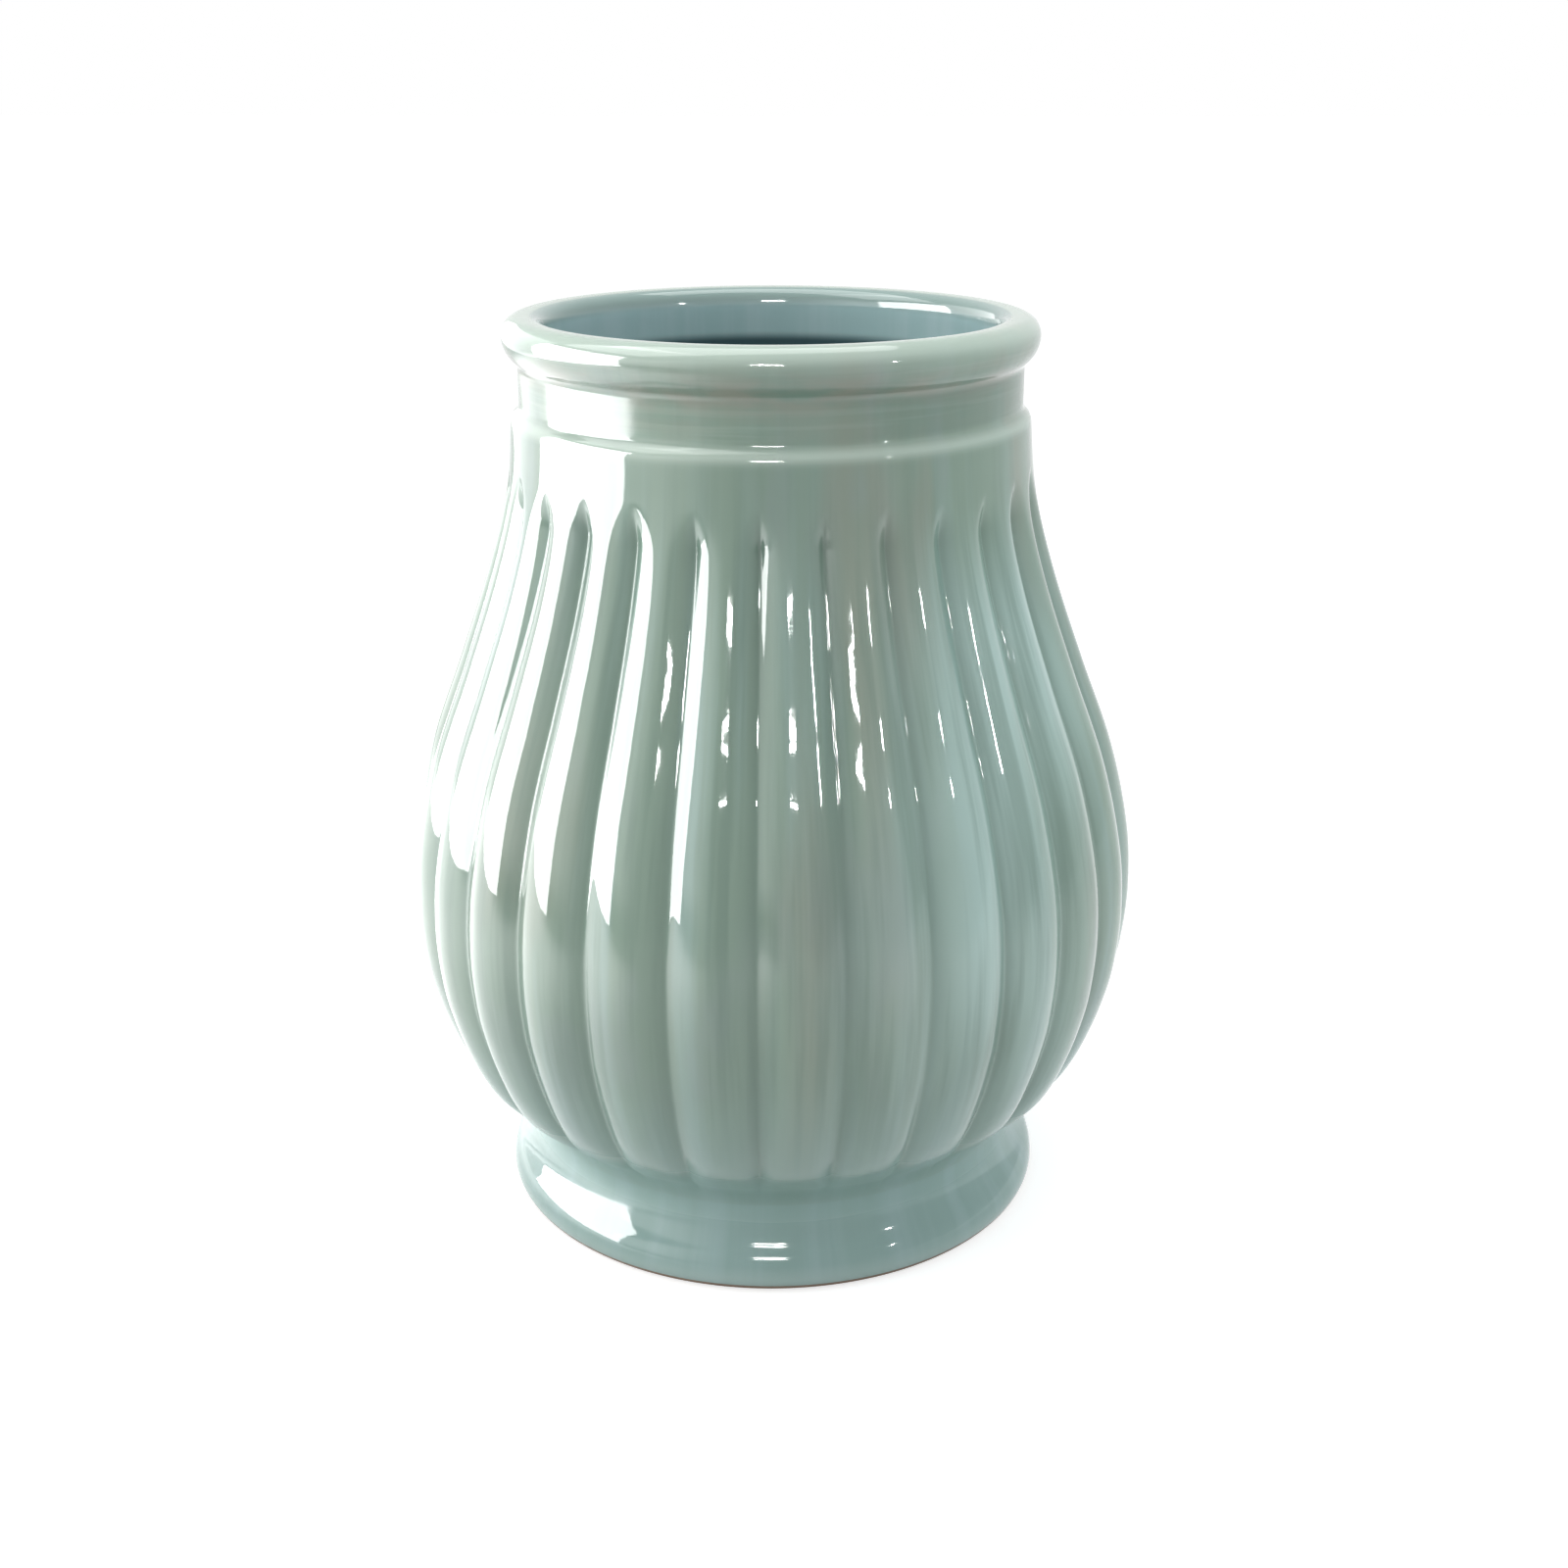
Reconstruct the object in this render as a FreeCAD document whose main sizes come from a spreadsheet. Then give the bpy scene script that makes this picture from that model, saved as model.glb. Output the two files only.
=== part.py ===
import FreeCAD, Part
import Sketcher
import math
import os

# A lobed vase, thrown and moulded in sections that are luted together with spigots
# Millimetres, +Z up, the origin under the middle of the foot, one valley on the -Y side

doc = FreeCAD.newDocument("lobed_vase")

# Driving sizes, where flare_share says how far down the flare turns from hollow to round
sheet = doc.addObject("Spreadsheet::Sheet", "Sizes")

DRIVING = [
    ("overall_height", 250.0),
    ("lip_height", 12.0),
    ("lip_overhang", 4.0),
    ("lip_round", 4.8),
    ("neck_wall", 7.6),
    ("collar_radius", 66.9),
    ("collar_height", 12.2),
    ("ledge_width", 2.3),
    ("ledge_round", 2.3),
    ("belly_radius", 102.1),
    ("belly_height", 93.0),
    ("body_wall", 7.6),
    ("lobe_depth", 3.3),
    ("lobe_fade_top", 9.5),
    ("lobe_fade_bottom", 9.0),
    ("plain_shoulder", 11.0),
    ("plain_heel", 5.5),
    ("crease_radius", 70.8),
    ("foot_height", 23.5),
    ("foot_reach", 7.2),
    ("foot_edge_height", 3.8),
    ("foot_edge_inset", 3.1),
    ("flare_share", 0.64),
    ("contact_width", 8.5),
    ("contact_bevel", 1.2),
    ("seat_wall", 4.1),
    ("shelf_width", 5.5),
    ("base_thickness", 8.0),
    ("base_edge_round", 1.2),
    ("spigot_depth", 4.0),
    ("slip_gap", 0.2),
    ("floor_round", 6.0),
    ("overrun", 5.0),
]

# Sizes that follow from the driving ones
DERIVED = [
    ("lip_joint_height", "overall_height - lip_height"),
    ("lip_bulge_height", "overall_height - lip_round"),
    ("mouth_radius", "collar_radius - neck_wall"),
    ("lip_radius", "collar_radius + lip_overhang"),
    ("lip_top_radius", "lip_radius - lip_round"),
    ("lip_inner_height", "overall_height - lip_top_radius + mouth_radius"),
    ("ledge_height", "lip_joint_height - collar_height"),
    ("ledge_radius", "collar_radius + ledge_width"),
    ("ledge_start_height", "ledge_height - ledge_round"),
    ("ledge_flat_radius", "ledge_radius - ledge_round"),
    ("spigot_radius", "(mouth_radius + collar_radius) / 2"),
    ("socket_radius", "spigot_radius + slip_gap"),
    ("lip_spigot_height", "lip_joint_height - spigot_depth"),
    ("collar_spigot_height", "ledge_height - spigot_depth"),
    ("belly_spigot_radius", "belly_radius - lobe_depth - (body_wall - lobe_depth) / 2"),
    ("belly_spigot_height", "belly_height - spigot_depth"),
    ("foot_radius", "crease_radius + foot_reach"),
    ("flare_radius", "crease_radius + foot_reach * flare_share"),
    ("flare_height", "foot_height - (foot_height - foot_edge_height) * flare_share"),
    ("contact_outer_radius", "foot_radius - foot_edge_inset"),
    ("contact_inner_radius", "contact_outer_radius - contact_width"),
    ("base_radius", "crease_radius - seat_wall - slip_gap"),
    ("foot_bore_radius", "base_radius - shelf_width"),
    ("base_top_height", "foot_height - spigot_depth"),
    ("base_under_height", "base_top_height - base_thickness"),
    ("base_seat_radius", "base_radius + slip_gap"),
    ("floor_radius", "crease_radius - body_wall"),
    ("base_round_height", "base_under_height + base_edge_round"),
    ("base_round_radius", "base_radius - base_edge_round"),
    ("bevel_inner_radius", "contact_inner_radius - contact_bevel"),
]

for row, (name, value) in enumerate(DRIVING, start=1):
    sheet.set("A%d" % row, name)
    sheet.set("B%d" % row, str(value))
    sheet.setAlias("B%d" % row, name)

for row, (name, formula) in enumerate(DERIVED, start=len(DRIVING) + 2):
    sheet.set("A%d" % row, name)
    sheet.set("B%d" % row, "=" + formula)
    sheet.setAlias("B%d" % row, name)

doc.recompute()


def size(name):
    """The number that the sheet holds under this name."""
    return float(sheet.get(name))


# The number of lobes is a count and not a length
LOBE_COUNT = 28

# The crown line of the body, as shares of its height and of its swell
# The first list runs from the crease above the foot up to the belly
HEEL_SHARES = [(0.0, 0.0), (0.05, 0.035), (0.10, 0.165), (0.16, 0.345), (0.24, 0.515),
               (0.34, 0.655), (0.46, 0.772), (0.60, 0.876), (0.76, 0.957), (1.0, 1.0)]
# The second list runs from the belly up to the ledge under the collar
SHOULDER_SHARES = [(0.14, 0.959), (0.32, 0.786), (0.51, 0.500), (0.70, 0.230),
                   (0.85, 0.068), (1.0, 0.0)]

# The rows over the round edge of the ledge, as shares of its quarter turn
LEDGE_SHARES = (0.33, 0.67, 1.0)


def crown_points():
    """Radius and height of each chosen point of the crown line, bottom to top."""
    points = []
    for height_share, swell_share in HEEL_SHARES:
        rise = size("belly_height") - size("foot_height")
        swell = size("belly_radius") - size("crease_radius")
        points.append((size("crease_radius") + swell_share * swell,
                       size("foot_height") + height_share * rise))
    for height_share, swell_share in SHOULDER_SHARES:
        rise = size("ledge_start_height") - size("belly_height")
        swell = size("belly_radius") - size("ledge_radius")
        points.append((size("ledge_radius") + swell_share * swell,
                       size("belly_height") + height_share * rise))
    return points


def smooth_radius(points, height):
    """Radius at a height, on a smooth cubic through the given points."""
    slopes = []
    for place, (radius, level) in enumerate(points):
        before = points[max(place - 1, 0)]
        after = points[min(place + 1, len(points) - 1)]
        slopes.append((after[0] - before[0]) / (after[1] - before[1]))
    slopes[0] = 0.0
    for place in range(len(points) - 1):
        low, high = points[place], points[place + 1]
        if height <= high[1] or place == len(points) - 2:
            span = high[1] - low[1]
            way = (height - low[1]) / span
            return ((2 * way**3 - 3 * way**2 + 1) * low[0]
                    + (way**3 - 2 * way**2 + way) * span * slopes[place]
                    + (3 * way**2 - 2 * way**3) * high[0]
                    + (way**3 - way**2) * span * slopes[place + 1])


def smooth_step(way):
    """0 before the way starts, 1 after its end, and a soft rise between."""
    way = min(max(way, 0.0), 1.0)
    return way * way * (3 - 2 * way)


def groove_depth(height):
    """How deep the valleys between the lobes are at this height."""
    top = size("ledge_start_height") - size("plain_shoulder")
    bottom = size("foot_height") + size("plain_heel")
    fade_out = smooth_step((top - height) / size("lobe_fade_top"))
    fade_in = smooth_step((height - bottom) / size("lobe_fade_bottom"))
    return size("lobe_depth") * fade_out * fade_in


def lobe_rows(points):
    """Crown radius, valley radius and height of each row, up to the top of the ledge."""
    rows = []
    for height in section_heights():
        crown = smooth_radius(points, height)
        rows.append((crown, crown - groove_depth(height), height))
    for share in LEDGE_SHARES:
        turn = share * math.pi / 2
        radius = size("ledge_flat_radius") + size("ledge_round") * math.cos(turn)
        height = size("ledge_start_height") + size("ledge_round") * math.sin(turn)
        rows.append((radius, radius, height))
    return rows


def lobe_surface(rows):
    """One lobe as a smooth strip: curved across from valley to valley, splined along."""
    half_step = math.pi / LOBE_COUNT
    middle = half_step - math.pi / 2
    valleys, crowns, others = [], [], []
    for crown, valley, height in rows:
        place_spots = []
        for radius, turn in ((valley, middle - half_step), (crown, middle),
                             (valley, middle + half_step)):
            place_spots.append(FreeCAD.Vector(radius * math.cos(turn),
                                              radius * math.sin(turn), height))
        first, top, last = place_spots
        valleys.append(first)
        crowns.append(top * 2 - (first + last) / 2)
        others.append(last)
    ways = [0.0]
    for below, above in zip(rows, rows[1:]):
        ways.append(ways[-1] + math.hypot(above[0] - below[0], above[2] - below[2]))
    lines = []
    for spots in (valleys, crowns, others):
        line = Part.BSplineCurve()
        line.interpolate(Points=spots, Parameters=ways)
        lines.append(line)
    surface = Part.BSplineSurface()
    surface.buildFromPolesMultsKnots([line.getPoles() for line in lines],
                                     [3, 3], lines[0].getMultiplicities(),
                                     [0, 1], lines[0].getKnots(), False, False, 2, 3)
    return surface


def section_heights():
    """Heights of the sections: close together where the valleys start and end."""
    heel = size("foot_height") + size("plain_heel")
    heel_full = heel + size("lobe_fade_bottom")
    top = size("ledge_start_height") - size("plain_shoulder")
    top_full = top - size("lobe_fade_top")
    heights = [size("foot_height"), (size("foot_height") + heel) / 2]
    for share in (0.0, 0.5, 1.0):
        heights.append(heel + share * (heel_full - heel))
    for share in (0.08, 0.2, 0.35, 0.5, 0.65, 0.8, 0.93):
        heights.append(heel_full + share * (top_full - heel_full))
    for share in (0.0, 0.33, 0.67, 1.0):
        heights.append(top_full + share * (top - top_full))
    for share in (0.4, 0.85, 1.0):
        heights.append(top + share * (size("ledge_start_height") - top))
    return heights


# Sketch helpers: outlines lie in the XZ plane, radius along X and height along Z

def origin_plane(body, role):
    """The origin plane of this body that has the given role."""
    for feature in body.Origin.OriginFeatures:
        if feature.Role == role:
            return feature


def draw_outline(sketch, corners, arcs):
    """Draw a closed outline through named corners.

    Each corner is the name of its radius and the name of its height, or None for zero.
    arcs gives, for the side that starts at that corner, the name of the centre's height
    and the way round: 1 when the arc runs anticlockwise from its start to its end.
    """
    def number(name):
        return 0.0 if name is None else size(name)

    count = len(corners)
    spots = [FreeCAD.Vector(number(radius), number(height), 0) for radius, height in corners]
    ends = []
    for side in range(count):
        start, stop = spots[side], spots[(side + 1) % count]
        if side not in arcs:
            sketch.addGeometry(Part.LineSegment(start, stop), False)
            ends.append((1, 2))
            continue
        level_name, way_round = arcs[side]
        level = number(level_name)
        spread = stop.x - start.x
        squares = stop.x**2 - start.x**2 + (stop.y - level)**2 - (start.y - level)**2
        centre = FreeCAD.Vector(squares / (2 * spread), level, 0)
        reach = start - centre
        first, last = (start, stop) if way_round == 1 else (stop, start)
        circle = Part.Circle(centre, FreeCAD.Vector(0, 0, 1), reach.Length)
        angles = [math.atan2(spot.y - centre.y, spot.x - centre.x) for spot in (first, last)]
        sketch.addGeometry(Part.ArcOfCircle(circle, angles[0], angles[1]), False)
        ends.append((1, 2) if way_round == 1 else (2, 1))
    for side in range(count):
        following = (side + 1) % count
        sketch.addConstraint(Sketcher.Constraint("Coincident", side, ends[side][1],
                                                 following, ends[following][0]))
    for side, (radius, height) in enumerate(corners):
        place_point(sketch, side, ends[side][0], "DistanceX", spots[side].x, radius)
        place_point(sketch, side, ends[side][0], "DistanceY", spots[side].y, height)
        if side in arcs:
            level_name = arcs[side][0]
            place_point(sketch, side, 3, "DistanceY", number(level_name), level_name)


def place_point(sketch, side, point, kind, value, name):
    """Hold a point of the sketch at a distance from the origin that the sheet names."""
    if name is None:
        line = -2 if kind == "DistanceX" else -1
        sketch.addConstraint(Sketcher.Constraint("PointOnObject", side, point, line))
        return
    number = sketch.addConstraint(Sketcher.Constraint(kind, -1, 1, side, point, value))
    sketch.setExpression("Constraints[%d]" % number, "Sizes." + name)


def turned_body(name, corners, arcs):
    """A piece thrown on the wheel: a sketched outline turned about the Z axis."""
    body = doc.addObject("PartDesign::Body", name)
    sketch = body.newObject("Sketcher::SketchObject", name + "_outline")
    sketch.AttachmentSupport = [(origin_plane(body, "XZ_Plane"), "")]
    sketch.MapMode = "FlatFace"
    draw_outline(sketch, corners, arcs)
    turned = body.newObject("PartDesign::Revolution", name + "_turned")
    turned.Profile = sketch
    turned.ReferenceAxis = (sketch, ["V_Axis"])
    turned.Angle = 360.0
    sketch.Visibility = False
    body.Tip = turned
    return body


def bound_cylinder(name, radius, bottom, height):
    """A cylinder about the Z axis with its three sizes bound to the sheet."""
    cylinder = doc.addObject("Part::Cylinder", name)
    cylinder.setExpression("Radius", radius)
    cylinder.setExpression("Placement.Base.z", bottom)
    cylinder.setExpression("Height", height)
    return cylinder


def joined(kind, name, base, tool):
    """A Part boolean of two objects."""
    result = doc.addObject(kind, name)
    result.Base = base
    result.Tool = tool
    return result


# Rolled lip: a thick round roll with an undercut below it and a spigot inside

def make_rolled_lip():
    corners = [
        ("mouth_radius", "lip_spigot_height"),
        ("spigot_radius", "lip_spigot_height"),
        ("spigot_radius", "lip_joint_height"),
        ("collar_radius", "lip_joint_height"),
        ("lip_radius", "lip_bulge_height"),
        ("lip_top_radius", "overall_height"),
        ("mouth_radius", "lip_inner_height"),
    ]
    arcs = {
        3: ("lip_bulge_height", 1),
        4: ("lip_bulge_height", 1),
        5: ("lip_inner_height", 1),
    }
    return turned_body("rolled_lip", corners, arcs)


# Neck collar: an upright ring with a socket above for the lip and a spigot below

def make_neck_collar():
    corners = [
        ("mouth_radius", "collar_spigot_height"),
        ("spigot_radius", "collar_spigot_height"),
        ("spigot_radius", "ledge_height"),
        ("collar_radius", "ledge_height"),
        ("collar_radius", "lip_joint_height"),
        ("socket_radius", "lip_joint_height"),
        ("socket_radius", "lip_spigot_height"),
        ("mouth_radius", "lip_spigot_height"),
    ]
    return turned_body("neck_collar", corners, {})


# Foot ring: an ogee flare down to a round edge, with a shelf inside for the base

def make_foot_ring():
    corners = [
        ("contact_inner_radius", None),
        ("contact_outer_radius", None),
        ("foot_radius", "foot_edge_height"),
        ("flare_radius", "flare_height"),
        ("crease_radius", "foot_height"),
        ("base_seat_radius", "foot_height"),
        ("base_seat_radius", "base_under_height"),
        ("foot_bore_radius", "base_under_height"),
        ("bevel_inner_radius", "contact_bevel"),
    ]
    arcs = {
        1: ("foot_edge_height", 1),
        2: ("foot_edge_height", 1),
        3: ("foot_height", -1),
    }
    return turned_body("foot_ring", corners, arcs)


# Base disc: the floor of the vase, dropped on the shelf of the foot ring

def make_base_disc():
    corners = [
        (None, "base_under_height"),
        ("base_round_radius", "base_under_height"),
        ("base_radius", "base_round_height"),
        ("base_radius", "base_top_height"),
        (None, "base_top_height"),
    ]
    return turned_body("base_disc", corners, {1: ("base_round_height", 1)})


# The lobed body: one lofted form, hollowed, then parted at the belly with a spigot

def make_cavity(points):
    """The hollow inside the body, a body wall in from the crowns of the lobes."""
    wall = size("body_wall")
    floor = size("base_top_height")
    inner = [(size("floor_radius"), size("foot_height") + size("floor_round"))]
    start = inner[0][1]
    for radius, height in points:
        if height > start + size("floor_round"):
            inner.append((radius - wall, height))
    inner[-1] = (size("mouth_radius"), size("collar_spigot_height"))
    spots = [FreeCAD.Vector(radius, 0, height) for radius, height in inner]
    wall_line = Part.BSplineCurve()
    wall_line.interpolate(spots)
    top = size("ledge_height") + size("overrun")
    corners = [
        FreeCAD.Vector(size("mouth_radius"), 0, top),
        FreeCAD.Vector(0, 0, top),
        FreeCAD.Vector(0, 0, floor),
        FreeCAD.Vector(size("floor_radius") - size("floor_round"), 0, floor),
    ]
    turn = size("floor_round") * (1 - math.sqrt(0.5))
    corner_mid = FreeCAD.Vector(size("floor_radius") - turn, 0, floor + turn)
    heel = FreeCAD.Vector(size("floor_radius"), 0, floor + size("floor_round"))
    edges = [wall_line.toShape(), Part.LineSegment(spots[-1], corners[0]).toShape()]
    for first, last in zip(corners, corners[1:]):
        edges.append(Part.LineSegment(first, last).toShape())
    edges.append(Part.Arc(corners[-1], corner_mid, heel).toShape())
    edges.append(Part.LineSegment(heel, spots[0]).toShape())
    outline = Part.Face(Part.Wire(edges))
    turned = outline.revolve(FreeCAD.Vector(0, 0, 0), FreeCAD.Vector(0, 0, 1), 360)
    cavity = doc.addObject("Part::Feature", "body_cavity")
    cavity.Shape = turned
    return cavity


def turned_copies(shape):
    """Copies of a shape, one for each lobe, turned round the Z axis."""
    copies = []
    for place in range(LOBE_COUNT):
        copy = shape.copy()
        copy.rotate(FreeCAD.Vector(0, 0, 0), FreeCAD.Vector(0, 0, 1),
                    place * 360.0 / LOBE_COUNT)
        copies.append(copy)
    return copies


def make_lobed_form(points):
    """The outside of the body: one smooth lobe, turned round the axis and sewn together."""
    surface = lobe_surface(lobe_rows(points))
    faces = turned_copies(surface.toShape())
    ends = surface.getVKnots()
    for way in (ends[0], ends[-1]):
        rim = Part.Wire(turned_copies(surface.vIso(way).toShape()))
        faces.append(Part.Face(rim))
    shell = Part.Shell(faces)
    shell.sewShape()
    form = doc.addObject("Part::Feature", "lobed_form")
    form.Shape = Part.Solid(shell)
    return form


def make_body_halves():
    points = crown_points()
    form = make_lobed_form(points)
    spigot = bound_cylinder("foot_spigot", "Sizes.base_radius", "Sizes.base_top_height",
                            "Sizes.spigot_depth")
    blank = joined("Part::Fuse", "body_blank", form, spigot)
    shell = joined("Part::Cut", "body_shell", blank, make_cavity(points))
    socket = bound_cylinder("collar_socket", "Sizes.socket_radius",
                            "Sizes.collar_spigot_height",
                            "Sizes.spigot_depth + Sizes.overrun")
    shell = joined("Part::Cut", "body_with_socket", shell, socket)
    rise = "Sizes.ledge_height - Sizes.belly_height + Sizes.overrun"
    above = bound_cylinder("above_belly", "Sizes.belly_radius + Sizes.overrun",
                           "Sizes.belly_height", rise)
    tongue = bound_cylinder("belly_tongue", "Sizes.belly_spigot_radius",
                            "Sizes.belly_spigot_height", "Sizes.spigot_depth")
    keep = joined("Part::Fuse", "upper_share", above, tongue)
    upper = joined("Part::Common", "upper_body", shell, keep)
    above_again = bound_cylinder("above_belly_again", "Sizes.belly_radius + Sizes.overrun",
                                 "Sizes.belly_height", rise)
    rebate = bound_cylinder("belly_rebate", "Sizes.belly_spigot_radius + Sizes.slip_gap",
                            "Sizes.belly_spigot_height", "Sizes.spigot_depth")
    drop = joined("Part::Fuse", "lower_waste", above_again, rebate)
    lower = joined("Part::Cut", "lower_body", shell, drop)
    return upper, lower


upper_body, lower_body = make_body_halves()
pieces = [
    make_rolled_lip(),
    make_neck_collar(),
    upper_body,
    lower_body,
    make_base_disc(),
    make_foot_ring(),
]
doc.recompute()

# Check and write
for item in doc.Objects:
    if "Invalid" in item.State or "Error" in item.State:
        raise RuntimeError("%s did not compute" % item.Name)

os.makedirs("parts", exist_ok=True)
for piece in pieces:
    piece.Label = piece.Name
    shape = piece.Shape
    if shape.isNull() or not shape.isValid() or not shape.Solids:
        raise RuntimeError("%s has no valid solid" % piece.Label)
    shape.exportStep("parts/%s.step" % piece.Label)
    box = shape.BoundBox
    print("%-12s %9.1f mm3  z %7.2f to %7.2f  x %7.2f to %7.2f  solids %d faces %d" % (
        piece.Label, shape.Volume, box.ZMin, box.ZMax, box.XMin, box.XMax,
        len(shape.Solids), len(shape.Faces)))
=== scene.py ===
import math

import bpy
import numpy as np
from mathutils import Matrix


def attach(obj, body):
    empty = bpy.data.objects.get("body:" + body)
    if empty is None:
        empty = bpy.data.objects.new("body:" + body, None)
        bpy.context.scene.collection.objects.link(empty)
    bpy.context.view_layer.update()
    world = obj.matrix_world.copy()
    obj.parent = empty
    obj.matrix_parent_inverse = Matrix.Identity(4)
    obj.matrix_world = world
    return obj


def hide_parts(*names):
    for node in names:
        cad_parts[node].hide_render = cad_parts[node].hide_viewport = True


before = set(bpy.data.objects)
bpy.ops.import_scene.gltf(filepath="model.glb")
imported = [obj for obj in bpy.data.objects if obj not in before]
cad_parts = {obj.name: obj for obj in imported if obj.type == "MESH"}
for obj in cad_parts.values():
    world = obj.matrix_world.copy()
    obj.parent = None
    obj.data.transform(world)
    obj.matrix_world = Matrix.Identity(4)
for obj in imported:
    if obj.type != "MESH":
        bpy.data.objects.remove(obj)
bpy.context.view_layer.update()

MM = 0.001

# Sizes in millimetres, the same as in the CAD source
OVERALL_HEIGHT = 250.0
LIP_HEIGHT = 12.0
LIP_OVERHANG = 4.0
LIP_ROUND = 4.8
NECK_WALL = 7.6
COLLAR_RADIUS = 66.9
COLLAR_HEIGHT = 12.2
LEDGE_WIDTH = 2.3
LEDGE_ROUND = 2.3
BELLY_RADIUS = 102.1
BELLY_HEIGHT = 93.0
BODY_WALL = 7.6
LOBE_DEPTH = 3.3
PLAIN_SHOULDER = 11.0
CREASE_RADIUS = 70.8
FOOT_HEIGHT = 23.5
FOOT_REACH = 7.2
FOOT_EDGE_HEIGHT = 3.8
FOOT_EDGE_INSET = 3.1
FLARE_SHARE = 0.64
CONTACT_WIDTH = 8.5
CONTACT_BEVEL = 1.2
SEAT_WALL = 4.1
SHELF_WIDTH = 5.5
BASE_THICKNESS = 8.0
BASE_EDGE_ROUND = 1.2
SPIGOT_DEPTH = 4.0
SLIP_GAP = 0.2
FLOOR_ROUND = 6.0
LOBES = 28
HEEL_SHARES = [(0.0, 0.0), (0.05, 0.035), (0.10, 0.165), (0.16, 0.345), (0.24, 0.515),
               (0.34, 0.655), (0.46, 0.772), (0.60, 0.876), (0.76, 0.957), (1.0, 1.0)]
SHOULDER_SHARES = [(0.14, 0.959), (0.32, 0.786), (0.51, 0.500), (0.70, 0.230),
                   (0.85, 0.068), (1.0, 0.0)]

LIP_JOINT = OVERALL_HEIGHT - LIP_HEIGHT
LIP_BULGE = OVERALL_HEIGHT - LIP_ROUND
MOUTH_RADIUS = COLLAR_RADIUS - NECK_WALL
LIP_RADIUS = COLLAR_RADIUS + LIP_OVERHANG
LIP_TOP_RADIUS = LIP_RADIUS - LIP_ROUND
LIP_INNER_HEIGHT = OVERALL_HEIGHT - LIP_TOP_RADIUS + MOUTH_RADIUS
LEDGE_HEIGHT = LIP_JOINT - COLLAR_HEIGHT
LEDGE_RADIUS = COLLAR_RADIUS + LEDGE_WIDTH
LEDGE_START = LEDGE_HEIGHT - LEDGE_ROUND
SPIGOT_RADIUS = (MOUTH_RADIUS + COLLAR_RADIUS) / 2
SOCKET_RADIUS = SPIGOT_RADIUS + SLIP_GAP
BELLY_SPIGOT = BELLY_RADIUS - LOBE_DEPTH - (BODY_WALL - LOBE_DEPTH) / 2
FOOT_RADIUS = CREASE_RADIUS + FOOT_REACH
FLARE_RADIUS = CREASE_RADIUS + FOOT_REACH * FLARE_SHARE
FLARE_HEIGHT = FOOT_HEIGHT - (FOOT_HEIGHT - FOOT_EDGE_HEIGHT) * FLARE_SHARE
CONTACT_OUTER = FOOT_RADIUS - FOOT_EDGE_INSET
CONTACT_INNER = CONTACT_OUTER - CONTACT_WIDTH
BASE_RADIUS = CREASE_RADIUS - SEAT_WALL - SLIP_GAP
FOOT_BORE = BASE_RADIUS - SHELF_WIDTH
BASE_TOP = FOOT_HEIGHT - SPIGOT_DEPTH
BASE_UNDER = BASE_TOP - BASE_THICKNESS
FLOOR_RADIUS = CREASE_RADIUS - BODY_WALL
LOBE_STEP = 2 * math.pi / LOBES

# How the glaze rounds the corners of the clay, with height, reach and softening of each crease
GLAZE_SOFTENING = 0.4
LIP_EDGE_POWER = 0.62
OUTSIDE_FROM_RADIUS = 62.0
CREASE_SOFTENING = [(LEDGE_HEIGHT, 2.5, 1.0), (LIP_JOINT, 1.6, 0.9), (FOOT_HEIGHT + 4.0, 5.0, 4.5)]

# Where the valleys between the lobes start and end, and how they get narrow there
GROOVE_TOP = LEDGE_START - PLAIN_SHOULDER
GROOVE_BOTTOM = FOOT_HEIGHT + 0.3
GROOVE_RUN_OUT = 20.0
GROOVE_FADE_TOP = 11.5
VALLEY_ROUNDING = 0.055
VALLEY_POWER = 2.0
TOP_NARROWING, TOP_NARROWING_REACH = 5.0, 5.0
BOTTOM_NARROWING, BOTTOM_NARROWING_REACH = 9.0, 6.5

# The waviness of the wall, which fades out towards the foot and the ledge, and a full turn of a wave
WAVE_COUNT = 9
WAVE_TURN = 6.28
WAVE_INSET, WAVE_DEPTH = 0.14, 0.42
WAVE_FADE_BOTTOM, WAVE_FADE_TOP = 12.0, 10.0

# What the glaze does at some heights, with painted shade under the lip and a painted highlight on the
# lip top: height, reach and strength of each soft band
VALLEY_POOL, VALLEY_POOL_POWER = 0.8, 2.2
# Under the lip the band darkens the glaze pooled in the crease further, as painted shade.
POOL_AND_SHADE_BANDS = [(LIP_JOINT + 1.0, 2.0, 0.5)]
# The bands at the ledge, the lip top and the foot edge are paler where the glaze is thinner; on the lip
# top this is also a painted highlight.
THIN_GLAZE_AND_HIGHLIGHT_BANDS = [(LEDGE_HEIGHT - 1.3, 1.1, 1.0), (OVERALL_HEIGHT - 1.5, 2.5, 1.0),
              (FOOT_EDGE_HEIGHT, 1.6, 0.5)]
WARM_BANDS = [(LIP_JOINT + 0.5, 3.5, 1.0), (LEDGE_HEIGHT + 6.2, 4.0, 0.3)]
BARE_HEIGHT = 2.3
INSIDE_RADIUS, INSIDE_REACH = LIP_TOP_RADIUS - 2.0, 4.5
SHADE_HEIGHT, SHADE_REACH = 234.8, 3.2
GLAZE_AND_PAINTED_LIGHT_MARKS = ("pool", "thin_glaze_and_painted_highlight", "bare", "inside", "warm")

# How fine the meshes are, with gaps in millimetres
ROUND_COLUMNS = 336
LOBE_COLUMNS = 26
EVEN_SHARE = 0.45
LINE_GAP = 0.1
LEVEL_GAP = 0.5
LEVEL_MARGIN = 0.2
LIP_ROW, COLLAR_ROW, BODY_ROW, FOOT_ROW = 0.3, 0.4, 0.8, 0.3
SAME_PLACE = 1e-6
rng = np.random.default_rng(28)


# The profile lines

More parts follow.
